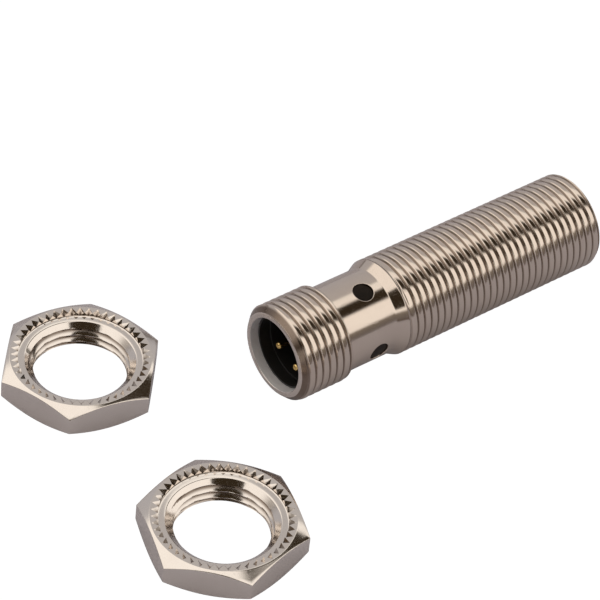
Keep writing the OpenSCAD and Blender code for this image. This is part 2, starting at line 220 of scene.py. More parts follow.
def windowSheet(index, size, hole):
    # from the patch's outer edge in to the hole, over its rounded rim, down the hole's wall and
    # out again to the inner patch's edge: each row is a closed ring of points round the window
    side = size["columns"] // 4
    quarter = np.pi / 4
    across = np.linspace(-1, 1, side + 1)[:-1]
    along = np.linspace(-1, 1, hole["sideRows"] + 1)[:-1]
    ends, edges = np.ones(side), np.ones(hole["sideRows"])
    squareX = np.concatenate([ends, -along, -ends, along])
    squareTurn = np.concatenate([across, edges, -across, -edges]) * quarter
    centre = hole["turn"] + index * 2 * quarter

    def around(radius, reach):
        # the angle round the window at which each of the square's points is seen
        return np.arctan2(radius * squareTurn, squareX * reach)

    def ring(radius, reach, share, holeRadius):
        # a share of the way from the hole's edge to the square's, on a cylinder
        angle = around(radius, reach)
        holeTurn = np.arcsin(holeRadius * np.sin(angle) / radius)
        x = (1 - share) * holeRadius * np.cos(angle) + share * squareX * reach
        return onBarrel(hole["at"] + x, radius, centre + (1 - share) * holeTurn + share * squareTurn)

    def wall(radius, reach, holeRadius, sink):
        # a ring on the hole's wall, sunk below the cylinder
        angle = around(radius, reach)
        sideways = holeRadius * np.sin(angle)
        height = np.sqrt(radius ** 2 - sideways ** 2) - sink
        return np.stack([hole["at"] + holeRadius * np.cos(angle),
                         height * np.sin(centre) + sideways * np.cos(centre),
                         height * np.cos(centre) - sideways * np.sin(centre)], -1)

    outer, inner = size["neckRadius"], size["neckBore"]
    reach, innerReach, edge = hole["outerReach"], hole["innerReach"], hole["edge"]
    rim = hole["radius"] + edge
    shares = (1, 0.8, 0.6, 0.4, 0.22, 0.1, 0.03, 0)
    rounding = ((0.6, 0.12), (0.9, 0.45), (1, 1))
    rows = [ring(outer, reach, share, rim) for share in shares]
    rows += [wall(outer, reach, rim - edge * inward, edge * down) for inward, down in rounding]
    rows += [wall(outer, reach, hole["radius"], edge + depth) for depth in hole["wallDepths"]]
    rows += [wall(inner, innerReach, hole["radius"], 0)]
    rows += [ring(inner, innerReach, share, hole["radius"]) for share in (0.3, 0.65, 1)]
    return {"points": np.array(rows)}


def housingSheets(size, hole):
    # the front: up the bore, round the sensing end and back over the barrel's thread; the rear:
    # over the connector's thread and in through its mouth; four window patches join the two
    turn = hole["turn"] + np.pi / 4 + np.arange(size["columns"]) * 2 * np.pi / size["columns"]
    crest, mouth, neck = size["crest"], size["mouth"], size["neckRadius"]
    frontRadius = crest - size["frontChamfer"]
    leadIn, bore = size["leadInRadius"], size["connectorBore"]
    patchFront, patchRear = hole["at"] + hole["outerReach"], hole["at"] - hole["outerReach"]
    innerFront, innerRear = hole["at"] + hole["innerReach"], hole["at"] - hole["innerReach"]
    beyond = 1  # how far away a path's end only gives its direction

    def threaded(x, blank, envelope):
        # a right-hand helix that climbs with +X, nowhere outside the turned blank
        x, blank, envelope = x[:, None], blank[:, None], envelope[:, None]
        turns = x / size["pitch"] + turn[None] / (2 * np.pi)
        dip = threadDip(turns, size["crestFlat"], size["rootFlat"], size["roundness"]) * envelope
        radius = np.minimum(crest - size["threadDepth"] * dip, blank)
        # how far below the crest a point lies: the groove mark, which the finish turns into painted shade in
        # the thread and on the cones and chamfers
        below = np.clip((crest - radius) / size["threadDepth"], 0, 1)
        return onBarrel(x, radius, turn[None]), below, 0.0

    def plain(corners, satin=0.0):
        # a turned stretch without a thread, from an open path
        outline = openPath(corners)
        return onBarrel(outline[:, :1], outline[:, 1:], turn[None]), 0.0, satin

    def join(*stretches):
        # stretches end to end, with their marks spread over their points
        shape = [(len(points), size["columns"]) for points, dip, satin in stretches]
        return {"points": np.concatenate([points for points, dip, satin in stretches]),
                "groove": np.concatenate([np.broadcast_to(stretch[1], shape[i])
                                          for i, stretch in enumerate(stretches)]),
                "satin": np.concatenate([np.broadcast_to(stretch[2], shape[i])
                                         for i, stretch in enumerate(stretches)])}

    front = plain([
        [innerFront - beyond, size["neckBore"], 0], [innerFront, size["neckBore"], 0],
        [size["boreStep"], size["neckBore"], 0.1], [size["boreStep"], size["barrelBore"], 0.1],
        [capLow[0], size["barrelBore"], 0], [0, size["barrelBore"], 0.08],
        [0, frontRadius, 0.12], [-0.2, frontRadius + 0.2, 0]])
    x = threadedRows(-size["frontStart"], size["barrelEnd"], size)
    fade = 1 - smoothStep(-size["barrelEnd"] - size["runOut"], -size["barrelEnd"], -x)
    barrel = threaded(x, np.minimum(crest, frontRadius - x), fade)
    shoulder = plain([
        [size["barrelEnd"] + beyond, crest, 0], [size["barrelEnd"], crest, 0.12],
        [size["neckFront"], neck, 0.12], [patchFront, neck, 0], [patchRear, neck, 0]])
    rear = plain([
        [patchFront, neck, 0], [patchRear, neck, 0], [size["neckRear"] + 0.4, neck, 0.02],
        [size["neckRear"], neck, 0.1], [size["neckRear"], crest - size["rearEdge"], 0.02],
        [size["neckRear"], crest, 0]])
    x = threadedRows(size["neckRear"], mouth + size["mouthStart"], size)
    slope = (crest - leadIn) / size["leadInLength"]
    cone = leadIn + (x - mouth) * slope
    edge = crest - size["rearEdge"] + np.clip(size["neckRear"] - x, 0, size["rearEdge"])
    fade = smoothStep(mouth + size["mouthFade"][0], mouth + size["mouthFade"][1], x)
    connector = threaded(x, np.minimum(np.minimum(cone, crest), edge), fade)
    rim = plain([
        [mouth + beyond, leadIn + slope, 0], [mouth, leadIn, 0.12],
        [mouth, bore + size["mouthChamfer"], 0.04], [mouth + size["mouthChamfer"], bore, 0]],
        size["rimSatin"])
    inside = plain([
        [mouth, bore, 0], [mouth + size["mouthChamfer"] + 0.05, bore, 0.02],
        [size["ledgeRear"], bore, 0.05], [size["ledgeRear"], size["ledgeRadius"], 0.05],
        [size["ledgeFront"], size["ledgeRadius"], 0.04], [size["ledgeFront"], size["neckBore"], 0.02],
        [innerRear, size["neckBore"], 0], [innerRear + beyond, size["neckBore"], 0]], 1.0)
    sheets = [join(front, barrel, shoulder), join(rear, connector, rim, inside)]
    return sheets + [windowSheet(index, size, hole) for index in range(4)]


housingShell = makePiece("housingShell", housingSheets(housing, window), "sensor",
                         ["housing"], roundRadius=housing["neckRadius"])

nut = {
    "flats": 17.0,
    "height": 4.0,
    "faceRadius": 8.2,  # where the corner chamfer starts
    "chamfer": np.radians(30),
    "cornerRound": 0.12,
    "edge": 0.06,
    "teeth": 48,
    "teethOuter": 8.05,
    "teethInner": 7.25,
    "toothDepth": 0.55,
    "toothHalfAngle": np.radians(42),
    "ringHeight": 3.4,
    "ringInner": 6.5,
    "dish": 0.1,
    "bore": 5.459,
    "mouth": 6.1,
    "pitch": 1.0,
    "threadDepth": 0.54,
    "crestFlat": 0.06,
    "rootFlat": 0.1,
    "roundness": 0.3,
    "rowsPerTurn": 16,
    "spots": 8,  # points round the nut for each tooth, a multiple of 4
    "crowding": 0.85,  # how strongly points gather at the hexagon's corners, from 0 to 1
    "narrow": 0.03,  # least and most share of a tooth's pitch that a groove takes
    "wide": 0.985,
    "lap": 0.02,  # from the ring's inner edge to the bore's first row
    "turned": {"mounting_nut_1": 48.8, "mounting_nut_2": 12.7},
}


def hexRadius(turn, size):
    # radius of a hexagon with rounded corners: an arc near each corner, and a straight side
    half = np.pi / 6
    away = np.abs((turn + half) % (2 * half) - half)
    flat, corner = size["flats"] / 2, size["cornerRound"]
    centre = (flat - corner) / np.cos(half)
    change = np.arctan2(corner * np.sin(half), centre + corner * np.cos(half))
    inside = corner ** 2 - (centre * np.sin(np.minimum(away, change))) ** 2
    arc = centre * np.cos(away) + np.sqrt(np.maximum(inside, 0))
    return np.where(away < change, arc, flat / np.cos(half - away))


def nutSheet(size, node):
    # a closed outline carried round the nut, whose points move round too: close together at
    # the hexagon's corners outside, and along the edges of the teeth inside
    toothTurn = 2 * np.pi / size["teeth"]
    spots, narrow, wide = size["spots"], size["narrow"], size["wide"]
    half, quarter = spots // 2, spots // 4
    column = np.arange(size["teeth"] * spots)
    spot = column % spots
    tooth = column // spots + (spot > half)
    side = np.where(spot > half, -1, 1)
    spot = np.where(spot > half, spots - spot, spot)

    def toothTurns(share):
        # the groove's middle, its edges at a share of half a tooth, and the ridge
        place = np.interp(spot, [0, quarter, half], [0, share, 1])
        return tooth * toothTurn + side * place * toothTurn / 2

    def place(radius, turn, height):
        # points at a radius and a turn round the nut's own upright axis
        radius, turn, height = np.broadcast_arrays(radius, turn, height)
        return np.stack([radius * np.cos(turn), radius * np.sin(turn), height], -1)

    def between(start, end, count):
        # evenly spaced rows between two others
        return [start + (end - start) * t for t in np.linspace(0, 1, count + 2)[1:-1]]

    def bend(before, corner, after):
        # a quadratic curve over a corner, a short way along each side and never near its end
        most = 0.4
        toBefore, toAfter = before - corner, after - corner
        lengthBefore = np.linalg.norm(toBefore, axis=1, keepdims=True)
        lengthAfter = np.linalg.norm(toAfter, axis=1, keepdims=True)
        start = corner + toBefore * np.minimum(size["edge"] / lengthBefore, most)
        end = corner + toAfter * np.minimum(size["edge"] / lengthAfter, most)
        return [(1 - t) ** 2 * start + 2 * t * (1 - t) * corner + t * t * end
                for t in (0, 0.33, 0.67, 1)]

    even = toothTurns(0.5)
    sides = 6
    crowded = even - size["crowding"] * np.sin(sides * even) / sides
    outer = hexRadius(crowded, size)
    drop = (outer - size["faceRadius"]) * np.tan(size["chamfer"])
    high = size["height"]
    mouth = place(size["mouth"], even, 0)
    lowFace = place(size["faceRadius"], crowded, 0)
    lowCorner = place(outer, crowded, drop)
    highCorner = place(outer, crowded, high - drop)
    highFace = place(size["faceRadius"], crowded, high)
    teethRim = place(size["teethOuter"], toothTurns(narrow), high)
    rows = [mouth] + between(mouth, lowFace, 3)
    rows += bend(mouth, lowFace, lowCorner) + between(lowFace, lowCorner, 2)
    rows += bend(lowFace, lowCorner, highCorner) + between(lowCorner, highCorner, 4)
    rows += bend(lowCorner, highCorner, highFace) + between(highCorner, highFace, 2)
    rows += bend(highCorner, highFace, teethRim)
    # the groove mark of each row, which the finish turns into painted shade in the teeth and the bore's
    # thread
    plainRow = np.zeros(len(column))
    grooves = [plainRow] * len(rows)

    # each groove between teeth deepens inwards, as wide as its sides let it be
    middle = np.interp(spot, [0, quarter, half], [1, 0, 0])
    for radius in np.linspace(size["teethOuter"], size["teethInner"], 7):
        fall = (size["teethOuter"] - radius) / (size["teethOuter"] - size["teethInner"])
        depth = size["toothDepth"] * fall
        share = depth * np.tan(size["toothHalfAngle"]) / radius / (toothTurn / 2)
        rows.append(place(radius, toothTurns(np.clip(share, narrow, wide)), high - depth * middle))
        grooves.append(middle * fall)
    ridges = toothTurns(wide)
    rows += between(rows[-1], place(size["teethInner"], ridges, size["ringHeight"]), 2)
    # the ring inside the teeth: share of its width, height in dishes, and points round it
    ring = [(0, 0.2, ridges), (0.04, 0, ridges), (0.25, -0.3, even), (0.5, -0.5, even),
            (0.75, -0.75, even), (0.94, -1, even)]
    for share, rise, turn in ring:
        radius = size["teethInner"] + (size["ringInner"] - size["teethInner"]) * share
        rows.append(place(radius, turn, size["ringHeight"] + size["dish"] * rise))
    grooves += [plainRow] * (len(rows) - len(grooves))

    # the bore: the thread, opened out by a cone at each end
    top = size["ringHeight"] - size["dish"] - size["lap"]
    heights = np.linspace(top, 0, int(top / size["pitch"] * size["rowsPerTurn"]) + 1)[:, None]
    turns = heights / size["pitch"] - even[None] / (2 * np.pi)
    dip = threadDip(turns, size["crestFlat"], size["rootFlat"], size["roundness"])
    cut = size["bore"] + size["threadDepth"] * dip
    cones = np.maximum(size["ringInner"] - size["lap"] - (top - heights), size["mouth"] - heights)
    bore = place(np.maximum(cut, cones), even[None], heights)
    angle = np.radians(size["turned"][node])
    cos, sin = np.cos(angle), np.sin(angle)
    spin = np.array([[cos, sin, 0], [-sin, cos, 0], [0, 0, 1]])
    return {"points": np.concatenate([np.array(rows), bore]) @ spin + nutCentre(node),
            "groove": np.concatenate([np.array(grooves), dip * (cut > cones)]), "closeRows": True}


def nutCentre(node):
    # the middle of the nut's lower face
    low, high = nodeBox(node)
    return np.array([(low[0] + high[0]) / 2, (low[1] + high[1]) / 2, low[2]])


nutPieces = {node: makePiece(node.replace("mounting_nut_", "mountingNut"), [nutSheet(nut, node)],
                             node, [node], 28) for node in nut["turned"]}

lens = {
    "radius": lensRadius,
    "top": lensTop,
    "dome": 0.05,
    "bottom": guideHigh[2] + fit["push"],  # just above the light guide
    "edge": 0.05,  # height of the rounded edge
    "foot": 0.1,  # height of the last straight stretch
}


def lensSheet(index, size, hole):
    # a shallow dome over a short plug, round the window's own axis: rows of (across, height)
    top, dome, bottom, edge = size["top"], size["dome"], size["bottom"], size["edge"]
    face = [[across, top + dome * (1 - across ** 2)] for across in (0, 0.3, 0.6, 0.85, 0.94)]
    rows = np.array(face + [[0.98, top - edge / 5], [1, top - edge], [1, bottom + size["foot"]], [1, bottom],
                            [0.5, bottom], [0, bottom]])
    turn = np.linspace(0, 2 * np.pi, 48, endpoint=False)[None]
    across, height = size["radius"] * rows[:, :1], rows[:, 1:] + 0 * turn
    centre = hole["turn"] + index * np.pi / 2
    sideways = across * np.sin(turn)
    return {"points": np.stack([hole["at"] + across * np.cos(turn),
                                height * np.sin(centre) + sideways * np.cos(centre),
                                height * np.cos(centre) - sideways * np.sin(centre)], -1)}


lenses = makePiece("windowLenses", [lensSheet(index, lens, window) for index in range(4)],
                   "sensor", ["window_lenses"])

insert = {
    "radius": insertHigh[2],
    "front": insertHigh[0],
    "lip": insertLow[0],
    "floorThickness": 1.2,
    "wall": 0.42,
    "stepAt": 1.5,  # a shallow step in the sleeve, this far in from its lip
    "stepHeight": 0.17,
    "keyWidth": 1.0,
    "keyHeight": 0.45,
    "keyTurn": fit["lie"],
}
pin = {
    "radius": 0.5,
    "tailRadius": 0.4,
    "nose": 0.42,  # length of the rounded tip
    "nodes": ["contact_pin_1", "contact_pin_3", "contact_pin_4"],
}
cap = {
    "radius": capHigh[2],
    "rear": capLow[0],
    "face": 0.8,  # thickness at the sensing face
    "skirt": 0.25,
    "edge": 0.18,
    "stepIn": 0.7,  # from the edge to a faint step round the face
    "lip": 0.04,  # height of that step
}


def insertOutline(size):
    # a thick floor and a sleeve with a shallow step near its lip
    outer, socket = size["radius"], size["radius"] - size["wall"]
    floor, step = size["front"] - size["floorThickness"], size["lip"] + size["stepAt"]
    lipInner = socket + size["stepHeight"]
    return roundedPath([
        [size["front"], 0, 0], [size["front"], outer, 0.05], [size["lip"], outer, 0.06],
        [size["lip"], lipInner, 0.06], [step, lipInner, 0.03], [step, socket, 0.05],
        [floor, socket, 0.1], [floor, 0, 0]])


def keySheet(size):
    # a straight bar along the sleeve: a rounded rectangle that shrinks to nothing at both ends
    socket = size["radius"] - size["wall"]
    floor, half = size["front"] - size["floorThickness"], size["keyWidth"] / 2
    low, high = socket - size["keyHeight"], socket + size["wall"] / 2
    outline = roundedPath([[-half, low, 0.12], [half, low, 0.12], [half, high, 0.02],
                           [-half, high, 0.02]])
    middle = np.array([0, (low + high) / 2])
    inset = 0.1
    front, rear = floor + inset / 2, size["lip"] + inset
    rows = [(rear, 0), (rear, 0.8), (rear + inset / 2, 0.95), (rear + inset, 1), (front, 1), (front, 0)]
    flat = [middle + (outline - middle) * share for x, share in rows]
    sideways, height = np.array(flat)[..., 0], np.array(flat)[..., 1]
    cos, sin = np.cos(size["keyTurn"]), np.sin(size["keyTurn"])
    x = np.array([x for x, share in rows])[:, None] + 0 * height
    return {"points": np.stack([x, height * sin + sideways * cos, height * cos - sideways * sin], -1)}


def pinSheet(size, node, shoulder):
    # a long oval nose, a straight contact and a thinner solder tail, round the pin's own axis
    low, high = nodeBox(node)
    nose = np.linspace(0, np.pi / 2, 9)
    curve = np.stack([low[0] + size["nose"] * (1 - np.cos(nose)), size["radius"] * np.sin(nose)], -1)
    tail = [[shoulder, size["radius"]], [shoulder, size["tailRadius"]],
            [high[0], size["tailRadius"]], [high[0], 0]]
    sheet = turned(np.concatenate([curve, tail]), 40)
    sheet["points"] = sheet["points"] + np.array([0, (low[1] + high[1]) / 2, (low[2] + high[2]) / 2])
    return sheet


def capOutline(size):
    # a cup with a rounded rim and a faint step round its face
    outer, inner = size["radius"], size["radius"] - size["skirt"]
    step, lip = outer - size["stepIn"], size["lip"]
    return roundedPath([
        [-lip, 0, 0], [-lip, step, 0.03], [0, step + lip, 0.03], [0, outer, size["edge"]],
        [size["rear"], outer, 0.05], [size["rear"], inner, 0.05], [-size["face"], inner, 0.2],
        [-size["face"], 0, 0]])


insertPiece = makePiece("contactInsert", [turned(insertOutline(insert), 96), keySheet(insert)],
                        "sensor", ["connector_insert"])
pinPieces = [makePiece(node.replace("contact_pin_", "contactPin"),
                       [pinSheet(pin, node, insert["front"])], "sensor", [node])
             for node in pin["nodes"]]
capPiece = makePiece("sensingFace", [turned(capOutline(cap), 96)], "sensor",
                     ["sensing_cap"])

camera = {
    "azimuth": -41.5,
    "elevation": 42.705,
    "roll": 6.603,
    "distance": 379.56,
    "target": (-32.47, 10.73, -5.99),
    "lens": 189.5,
    "sensor": 36,
    "clip": (0.01, 20),  # nearest and farthest distance seen, in metres
}


def buildCamera(size):
    # looks along the azimuth and down by the elevation, rolled about its own line of sight
    azimuth, elevation, roll = (np.radians(size[key]) for key in ("azimuth", "elevation", "roll"))
    level = np.array([np.cos(azimuth), np.sin(azimuth), 0])
    ahead = np.array([-np.sin(azimuth), np.cos(azimuth), 0])
    look = ahead * np.cos(elevation) - np.array([0, 0, np.sin(elevation)])
    rise = np.cross(level, look)
    right = np.cos(roll) * level + np.sin(roll) * rise
    upward = np.cos(roll) * rise - np.sin(roll) * level
    place = (np.array(size["target"]) - look * size["distance"]) * mm
    data = bpy.data.cameras.new("camera")
    data.lens, data.sensor_width = size["lens"], size["sensor"]
    data.clip_start, data.clip_end = size["clip"]
    piece = bpy.data.objects.new("camera", data)
    turn = np.stack([right, upward, -look], 1)
    piece.matrix_world = Matrix([[*turn[i], place[i]] for i in range(3)] + [[0, 0, 0, 1]])
    bpy.context.scene.collection.objects.link(piece)
    bpy.context.scene.camera = piece


buildCamera(camera)


class Wire:
    # a socket of a node tree: arithmetic on it adds Math nodes, and node() adds any other node

    def __init__(self, tree, socket=None):
        self.tree = tree
        self.socket = socket

    def node(self, kind, settings, inputs, output=0):
        added = self.tree.nodes.new(kind)
        for name, value in settings.items():
            setattr(added, name, value)
        for key, value in inputs.items():
            if isinstance(value, Wire):
                self.tree.links.new(value.socket, added.inputs[key])
            else:
                added.inputs[key].default_value = value
        return Wire(self.tree, added.outputs[output])

    def math(self, operation, first, second=0.0, third=0.0):
        return self.node("ShaderNodeMath", {"operation": operation}, {0: first, 1: second, 2: third})

    def __add__(self, other):
        return self.math("ADD", self, other)

    def __radd__(self, other):
        return self.math("ADD", other, self)

    def __sub__(self, other):
        return self.math("SUBTRACT", self, other)

    def __rsub__(self, other):
        return self.math("SUBTRACT", other, self)

    def __mul__(self, other):
        return self.math("MULTIPLY", self, other)

    def __rmul__(self, other):
        return self.math("MULTIPLY", other, self)

    def __truediv__(self, other):
        return self.math("DIVIDE", self, other)

    def __rtruediv__(self, other):
        return self.math("DIVIDE", other, self)

    def step(self, low, high):
        # 0 below low and 1 above high, smoothly between
        return self.node("ShaderNodeMapRange", {"interpolation_type": "SMOOTHSTEP"},
                         {0: self, 1: low, 2: high, 3: 0.0, 4: 1.0})

    def mix(self, first, second):
        # a colour between two, with this wire as the share of the second
        return self.node("ShaderNodeMix", {"data_type": "RGBA"}, {0: self, 6: first, 7: second}, 2)


def combine(wire, x, y, z):
    # one vector from three numbers
    return wire.node("ShaderNodeCombineXYZ", {}, {0: x, 1: y, 2: z})


def split(wire, source):
    # the three numbers of a vector
    return [wire.node("ShaderNodeSeparateXYZ", {}, {0: source}, index) for index in range(3)]


def ramp(wire, share, stops):
    # a colour read off a row of (position, colour) stops
    colours = wire.node("ShaderNodeValToRGB", {}, {0: share})
    elements = colours.socket.node.color_ramp.elements
    elements.remove(elements[1])
    elements[0].position, elements[0].color = stops[0]
    for position, colour in stops[1:]:
        elements.new(position).color = colour
    return colours


studio = {
    # softboxes round the sensor's own line: degrees from straight up towards +Y, and colour
    "boxes": [
        (-92, (0.30, 0.28, 0.29, 1)), (-86, (0.16, 0.14, 0.13, 1)), (-72, (0.20, 0.17, 0.14, 1)),
        (21, (0.98, 0.95, 0.9, 1)), (27, (0.50, 0.48, 0.47, 1)), (135, (0.42, 0.42, 0.46, 1)),
    ],
    "bright": (1.05, 1.0, 0.94, 1),  # the brightest softbox and the angles of its two edges
    "brightEdges": (-67, 1),
    "wide": 62,  # how far the bright box reaches towards +Y on the connector's side
    "wideFrom": 0.2,
    "gap": (-27, 2),  # a dark gap between two boxes, on the sensing side only
    "gapFrom": 0.0,
    "dark": (0.03, 0.02, 0.01, 1),
    "room": (0.08, 0.055, 0.035, 1),  # the dark room behind the connector's end
    "roomFrom": -0.76,  # how far towards -X a direction points where that room starts
    "roomHigh": 0.35,  # and how high that room is
    "viewer": (-0.487, -0.55, 0.678),  # whoever stands at the camera is dark as well
    "viewerSize": 0.905,
    "horizon": 0.1,  # height of a dim strip round the table's far edge
    "card": (0.85, 0.83, 0.79, 1),  # a small white card low in that room
    "cardPlace": (-0.76, -0.62, 0.18),
    "cardSize": 0.972,
    "floorWhite": 0.3,
    "floorGlow": 1.0,
    "table": (0.50, 0.49, 0.54, 1),
    "tableGlow": 0.03,
    "soft": 0.013,  # blur of the softboxes' edges, as a share of a full turn
    "blend": 0.2,  # blur of edges that are set by a direction's own X or height
    "roomBlend": 0.3,
    "coneBlend": 0.01,
    "stripShare": 0.8,  # how dark the strip is, and the share of its height where it is darkest
    "stripCore": 0.4,
    "stripGap": (0.1, 0.3, 0.65, 0.85),  # the strip is left out between these, along +X
    "clearance": 0.02,  # between the object and the table, in millimetres
    "flatRings": (0, 0.05, 0.2, 0.6, 1.0),  # radii of the table's rings, in metres
    "bowlTurn": (0.08, np.pi * 0.98),  # where the backdrop's curve starts and ends
    "bowlRows": 40,
    "bowlWidth": 1.6,
    "bowlHeight": 3.0,
}


def buildWorld(size):
    # the surroundings, as a colour for each direction: softboxes, a gap, a strip, a room, a
    # viewer and a card, each mixed over the ones before it
    world = bpy.data.worlds.new("studio")
    world.use_nodes = True
    world.node_tree.nodes.clear()
    wire = Wire(world.node_tree)
    x, y, z = split(wire, wire.node("ShaderNodeTexCoord", {}, {}, "Generated"))
    turn = wire.math("ARCTAN2", y, z) / (2 * np.pi) + 0.5
    boxes = sorted(size["boxes"] + [(edge, size["bright"]) for edge in size["brightEdges"]])
    stops = [(angle / 360 + 0.5, colour) for angle, colour in boxes]
    colour = ramp(wire, turn, stops)
    soft, blend = size["soft"], size["blend"]
    low, wide = 0.5, size["wide"] / 360 + 0.5
    box = turn.step(low, low + soft) * (1 - turn.step(wide - soft, wide + soft))
    box = box * (1 - x.step(size["wideFrom"] - blend, size["wideFrom"]))
    colour = box.mix(colour, size["bright"])
    low, high = (angle / 360 + 0.5 for angle in size["gap"])
    gap = turn.step(low - soft, low + soft) * (1 - turn.step(high - soft, high + soft))
    colour = (gap * x.step(size["gapFrom"], size["gapFrom"] + blend)).mix(colour, size["dark"])
    strip = (1 - z.step(size["horizon"] * size["stripCore"], size["horizon"])) * size["stripShare"]
    middle = x.step(*size["stripGap"][:2]) * (1 - x.step(*size["stripGap"][2:]))
    colour = (strip * (1 - middle)).mix(colour, size["room"])
    start, height = size["roomFrom"], size["roomHigh"]
    inRoom = (1 - x.step(start, start + size["roomBlend"])) * (1 - z.step(height, height + blend))
    colour = inRoom.mix(colour, size["room"])

    def towards(place, edge):
        # 1 inside a cone of directions round a place, whose cosine is the edge
        return (x * place[0] + y * place[1] + z * place[2]).step(edge, edge + size["coneBlend"])

    colour = towards(size["viewer"], size["viewerSize"]).mix(colour, size["dark"])
    colour = towards(size["cardPlace"], size["cardSize"]).mix(colour, size["card"])
    background = wire.node("ShaderNodeBackground", {}, {0: colour, 1: 1.0})
    output = world.node_tree.nodes.new("ShaderNodeOutputWorld")
    world.node_tree.links.new(background.socket, output.inputs[0])
    bpy.context.scene.world = world


def stageMaterial(name, colour, glow):
    # a plain dull surface that also gives off some light
    material = bpy.data.materials.new(name)
    material.use_nodes = True
    shader = material.node_tree.nodes["Principled BSDF"]
    shader.inputs["Base Color"].default_value = colour
    shader.inputs["Roughness"].default_value = 1.0
    shader.inputs["Specular IOR Level"].default_value = 0.0
    shader.inputs["Emission Color"].default_value = (1, 1, 1, 1)
    shader.inputs["Emission Strength"].default_value = glow
    return material


def stagePiece(name, outline, material, seen):
    # an outline of (radius, height) points, in metres, turned round the vertical; the camera
    # sees one piece, and reflections, bounces and shadows see the other
    spots = np.linspace(0, 2 * np.pi, 96, endpoint=False)[None]
    radius, height = outline[:, :1], outline[:, 1:] + 0 * spots
    grid = np.stack([radius * np.cos(spots), radius * np.sin(spots), height], -1)
    mesh = bpy.data.meshes.new(name)
    faces = gridFaces(len(outline), spots.shape[1], False, 0)
    mesh.from_pydata(grid.reshape(-1, 3).tolist(), [], faces.tolist())
    mesh.materials.append(material)
    piece = bpy.data.objects.new(name, mesh)
    bpy.context.scene.collection.objects.link(piece)
    piece.visible_camera = seen
    piece.visible_glossy = piece.visible_diffuse = piece.visible_transmission = not seen
    piece.visible_shadow = not seen


def buildStage(size):
    # a flat disc that curves up into a bowl, and a plain disc under the object
    ground = (housingLow[2] - size["clearance"]) * mm
    flat = np.array([[radius, 0] for radius in size["flatRings"]])
    half = np.linspace(*size["bowlTurn"], size["bowlRows"]) / 2
    outward, upward = size["bowlWidth"] * np.sin(half), size["bowlHeight"] * (1 - np.cos(half))
    bowl = np.stack([size["flatRings"][-1] + outward, upward], -1)
    rise = np.array([0, ground])
    white = size["floorWhite"]
    stagePiece("backdrop", np.concatenate([flat, bowl]) + rise,
               stageMaterial("backdropWhite", (white, white, white, 1), size["floorGlow"]), True)
    stagePiece("tableTop", flat + rise,
               stageMaterial("tableGrey", size["table"], size["tableGlow"]), False)


buildWorld(studio)
buildStage(studio)
bpy.context.scene.view_settings.view_transform = "Standard"
print("studio ready")


class Finish(Wire):
    # a new material: the wire of its tree, with its shader, its object coordinates and a few
    # textures that most finishes share

    def __init__(self, name):
        self.material = bpy.data.materials.new(name)
        self.material.use_nodes = True
        super().__init__(self.material.node_tree)
        self.shader = self.tree.nodes["Principled BSDF"]
        self.place = self.node("ShaderNodeTexCoord", {}, {}, "Object")

    def feed(self, **inputs):
        # sets or links the shader's sockets, whose names are given without spaces
        names = {socket.name.replace(" ", ""): socket for socket in self.shader.inputs}
        for key, value in inputs.items():
            if isinstance(value, Wire):
                self.tree.links.new(value.socket, names[key])
            else:
                names[key].default_value = value

    # noise, bump and mark: a noise texture, a bump from a height and an attribute of the mesh
    def noise(self, scale, detail=2.0, roughness=0.5, where=None):
        return self.node("ShaderNodeTexNoise", {}, {"Vector": where or self.place, "Scale": scale,
                                                    "Detail": detail, "Roughness": roughness}, "Fac")

    def bump(self, height, distance, strength=1.0):
        return self.node("ShaderNodeBump", {}, {"Strength": strength, "Distance": distance,
                                                "Height": height})

    def mark(self, name):
        return self.node("ShaderNodeAttribute", {"attribute_name": name}, {}, "Fac")

    def give(self, piece):
        # makes this the piece's only material
        piece.data.materials.clear()
        piece.data.materials.append(self.material)


def tint(colour, shares):
    # a colour with its three parts multiplied by one share, or by a share each
    return (*(np.array(colour[:3]) * shares).tolist(), 1)


plating = {
    "barrel": (0.78, 0.675, 0.585, 1),
    "nut": (0.88, 0.81, 0.745, 1),
    "shine": 0.08,  # roughness of the clean plating
    "turnedTo": 0.0084,  # lathe lines end at this radius on a nut, whose sides are pressed
    "turnedEdge": 0.0001,
    "barrelGrime": 0.85,  # how dark the painted shade in the grooves is, from 0 to 1
    "nutGrime": 0.95,
    "lathe": 9000,  # how fine each texture is
    "mottle": 420,
    "cloud": 1300,
    "fine": 5200,
    "scratches": 3400,
    # the colour of the painted shade in the grooves, as shares of the plating's own colour
    "grooveTint": (0.2, 0.155, 0.125),
    "cloudTint": (0.78, 0.74, 0.72),
    "satin": (0.97, 0.95, 0.96, 1),
    "relief": 0.000006,  # height of the bumps, in metres
}


